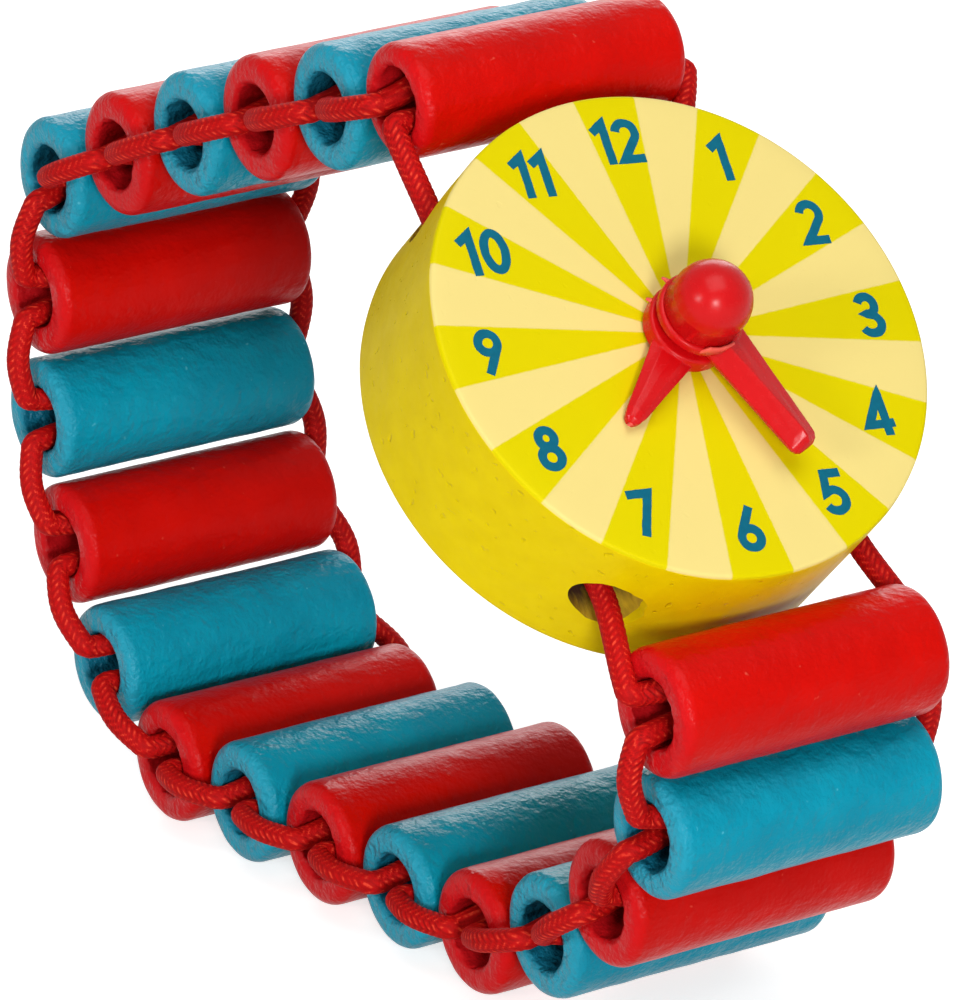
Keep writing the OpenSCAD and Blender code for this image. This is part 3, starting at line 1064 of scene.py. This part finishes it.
def lathe(section, around):
    verts = [Vector((r * math.cos(t), r * math.sin(t), z)) * mm
             for r, z in section for t in ringAngles(around)]
    return verts, ringFaces(len(section), around, True)


def armBody(look, mould):
    # a closed body through the stations, with the crown rounded or left as a ridge
    verts = []
    rounded, under = look["crown"], mould["under"]
    for x, left, top, right in look["arm"]:
        shoulders = [((side[0] + top[0]) / 2,
                      (side[1] + top[1]) / 2 + rounded * (top[1] - side[1]) * mould["shoulder"])
                     for side in (right, left)]
        ring = [(left[0] * under, 0), (right[0] * under, 0), right, shoulders[0], top, shoulders[1], left]
        verts += [Vector((x, across, height)) * mm for across, height in ring]
    return verts, tubeFaces(len(look["arm"]), len(ring))


def flashBody(radius, angle, height, length, curl, shape):
    # a sliver of plastic that ran out between the halves of the mould, thin and bent at its end
    t = math.radians(angle)
    out = Vector((math.cos(t), math.sin(t), 0))
    side = Vector((-out.y, out.x, 0))
    up = Vector((0, 0, 1))
    rows, root = shape["rows"], shape["root"]
    verts = []
    for k in range(rows):
        share = k / (rows - 1)
        spot = out * (radius - root + (length + root) * share) + side * curl * share ** 2
        spot += up * (height + shape["lift"] * length * share ** 2)
        wide, thick = [taper * (1 - share) + least for taper, least in (shape["wide"], shape["thick"])]
        verts += [(spot + way) * mm for way in (side * wide, up * thick, -side * wide, -up * thick)]
    return verts, tubeFaces(rows, 4)


def lipBody(lip, shape):
    # a ragged lip on the hub at the root of the arm, round the foot of the ball
    verts, rings, low = [], shape["rings"], lip["low"]
    for k in range(rings):
        share = k / (rings - 1)
        t = math.radians(lip["start"] + (lip["stop"] - lip["start"]) * share)
        out = Vector((math.cos(t), math.sin(t), 0))
        rise = lip["high"] + (lip["end"] - lip["high"]) * share
        ends = [shape["ramp"] * near + shape["stub"] for near in (share, 1 - share)]
        rise = low + (rise - low) * min(1.0, *ends)
        rise += shape["ragged"] * ripple(out * shape["tearRing"], shape["tear"], 9)
        section = [(0, low), (shape["foot"], low)] + [(r, rise - down) for r, down in shape["rim"]]
        verts += [(out * (lip["radius"] + r) + Vector((0, 0, z))) * mm for r, z in section]
    return verts, tubeFaces(rings, len(section))


def makeHand(look, mould):
    name = look["body"]
    bore, hub, high, foot = mould["bore"], look["hub"], look["hubHeight"], look["foot"]
    footIn, footUp = mould["footEdge"]
    bevel, bevelMiddle = mould["hubEdge"]
    ring = [(bore, 0), (foot - footIn, 0), (foot, footUp), (hub, mould["waist"]), (hub, high - bevel),
            (hub - bevelMiddle, high - bevelMiddle), (hub - bevel, high), (bore, high)]
    verts, faces = joined([lathe(ring, mould["around"]), armBody(look, mould)])
    place = dialPlace @ Matrix.Rotation(handTurn(name), 4, "Z") @ Matrix.Translation((0, 0, look["z"] * mm))
    hand = addPiece("moulded_" + name, verts, faces, [redPlastic], place)
    remesh = hand.modifiers.new("mould", "REMESH")
    remesh.mode = "VOXEL"
    remesh.voxel_size = mould["voxel"] * mm
    soften = hand.modifiers.new("soften", "SMOOTH")
    soften.iterations = mould["smooth"]
    soften.factor = mould["smoothShare"]
    settle(hand)
    # what is thinner than the voxels can hold comes after them
    slivers = [flashBody(*sliver, flashShape) for sliver in look["flash"]]
    if "lip" in look:
        slivers.append(lipBody(look["lip"], lipShape))
    trim = addPiece("trim_" + name, *joined(slivers), [redPlastic], place)
    thin = [0.0] * len(hand.data.vertices) + [1.0] * len(trim.data.vertices)
    bm = bmesh.new()
    bm.from_mesh(hand.data)
    bm.from_mesh(trim.data)
    bm.to_mesh(hand.data)
    bm.free()
    bpy.data.objects.remove(trim)
    paintPoints(hand, "thin", thin)
    hand.data.shade_smooth()
    return dress(hand, name, "red_plastic", name)


makeHand(hourHand, handMould)
makeHand(minuteHand, handMould)

pinShape = {
    "shank": 1.2,  # mm, radius
    "depth": 7.0,  # mm into the disc
    "chamfer": 0.3,  # mm
    "shankRows": (-3.0, 0.0),  # mm
    "ball": 2.43,  # mm, radius
    "ballHeight": 4.2,  # mm
    "ballArc": (3, 88),  # degrees
    "ballSteps": 40,
    "seat": 2.83,  # mm up to the underside of the ball's skirt
    "fillet": (0.08, 0.05),  # mm out and down, between shank and skirt
    "skirt": 2.5,  # mm, radius
    "skirtEdge": 0.1,  # mm
    "parting": 0.035,  # mm that the parting line stands out
    "partingHalf": 0.03,  # mm, half its width
    "partingRoot": (0.03, 0.12),  # mm in and down, where it starts under the ball's middle
    "flashFrom": 0.01,  # mm beyond the ball, what stands out further is flash
    "flashSize": 0.5,  # mm, its pattern
    "flashMean": 0.5,
    "around": 128,
    "sharp": 50,  # degrees
}


def makePin(shape):
    ball, middle, seat, skirt = shape["ball"], shape["ballHeight"], shape["seat"], shape["skirt"]
    shank, depth, chamfer, edge = shape["shank"], shape["depth"], shape["chamfer"], shape["skirtEdge"]
    filletOut, filletDown = shape["fillet"]
    rootIn, rootDown = shape["partingRoot"]
    proud, half = ball + shape["parting"], shape["partingHalf"]
    section = [(shank - chamfer, -depth), (shank, -depth + chamfer)]
    section += [(shank, z) for z in shape["shankRows"]]
    section += [(shank, seat - filletDown), (shank + filletOut, seat), (skirt - edge, seat)]
    section += [(skirt, seat + edge), (ball - rootIn, middle - rootDown)]
    section += [(proud, middle - half), (proud, middle + half)]
    section += arcPoints((0, middle), ball, *shape["ballArc"], shape["ballSteps"])
    around = shape["around"]
    verts = []
    for r, z in section:
        for t in ringAngles(around):
            side = Vector((math.cos(t), math.sin(t), 0))
            spot = Vector((r * math.cos(t), r * math.sin(t), z))
            # the flash along the parting line and the skirt's edge comes and goes
            onFlash = r > ball + shape["flashFrom"]
            thin = shape["flashMean"] + ripple(spot, shape["flashSize"], 6) if onFlash else 0.0
            verts.append((spot - side * thin * shape["parting"]) * mm)
    pin = addPiece("moulded_hand_pin", verts, tubeFaces(len(section), around), [redPlastic], dialPlace)
    pin.data.set_sharp_from_angle(angle=math.radians(shape["sharp"]))
    return dress(pin, "case", "red_plastic", "hand_pin")


makePin(pinShape)
print("hands and pin moulded")


# Floor and light

studio = {
    "floor": "#D4D4D2",
    "floorSize": 6.0,  # m from the middle to a side
    "floorRough": 0.9,
    "lift": 0.72,  # what the paper is lit by for the eye only
    "world": 0.12,  # share of white that the surroundings throw on the object
    "aimHeight": 0.03,  # m, what the lamps face
}
softboxes = [
    {"name": "leftBox", "azimuth": 16, "elevation": 20, "distance": 0.75, "size": 0.15, "level": 0.25},
    {"name": "rightBox", "azimuth": 67, "elevation": 11, "distance": 0.75, "size": 0.15, "level": 0.55},
    {"name": "topBox", "azimuth": 80, "elevation": 66, "distance": 0.80, "size": 0.60, "level": 0.54},
    {"name": "backBox", "azimuth": 232, "elevation": 24, "distance": 0.80, "size": 0.50, "level": 0.42},
]
white = (1, 1, 1, 1)


def seenShare(tree):
    # 1 for what the eye sees straight, mirrored or through glass, 0 for light that falls on the object
    path = addNode(tree, "ShaderNodeLightPath")
    straight = addNode(tree, "ShaderNodeMath", {0: path.outputs["Is Camera Ray"],
                                                1: path.outputs["Is Glossy Ray"]}, operation="ADD")
    seen = addNode(tree, "ShaderNodeMath", {0: straight.outputs["Value"],
                                            1: path.outputs["Is Transmission Ray"]},
                   operation="ADD", use_clamp=True)
    return seen.outputs["Value"]


def makeFloor(look):
    # white paper that takes the shadow, lifted for the eye only so that its open part is white
    size = look["floorSize"]
    material, tree, shader = newMaterial("paperSweepWhite")
    lift = addNode(tree, "ShaderNodeMath", {0: seenShare(tree), 1: look["lift"]}, operation="MULTIPLY")
    plug(tree, shader, {"Base Color": linear(look["floor"]), "Roughness": look["floorRough"],
                        "Emission Color": white, "Emission Strength": lift.outputs["Value"]})
    floor = addPiece("floor", [(-size, -size, 0), (size, -size, 0), (size, size, 0), (-size, size, 0)],
                     [(0, 1, 2, 3)], [material])


def makeWorld(look):
    world = bpy.data.worlds.new("studio")
    bpy.context.scene.world = world
    world.use_nodes = True
    tree = world.node_tree
    strength = addNode(tree, "ShaderNodeMapRange", {"Value": seenShare(tree),
                                                    "To Min": look["world"], "To Max": 1.0})
    plug(tree, tree.nodes["Background"], {"Color": white, "Strength": strength.outputs["Result"]})


def makeSoftbox(look, aimHeight):
    data = bpy.data.lights.new(look["name"], "AREA")
    data.shape = "SQUARE"
    data.size = look["size"]
    # a white card that faces the lamp at the object takes this share of full white
    data.energy = look["level"] * math.pi ** 2 * look["distance"] ** 2
    lamp = bpy.data.objects.new(look["name"], data)
    bpy.context.scene.collection.objects.link(lamp)
    back = backwards(look["azimuth"], look["elevation"])
    lamp.location = Vector((0, 0, aimHeight)) + back * look["distance"]
    lamp.rotation_mode = "QUATERNION"
    lamp.rotation_quaternion = (-back).to_track_quat("-Z", "Y")


makeFloor(studio)
makeWorld(studio)
for softbox in softboxes:
    makeSoftbox(softbox, studio["aimHeight"])
bpy.context.scene.view_settings.view_transform = "Standard"
print("studio lit")
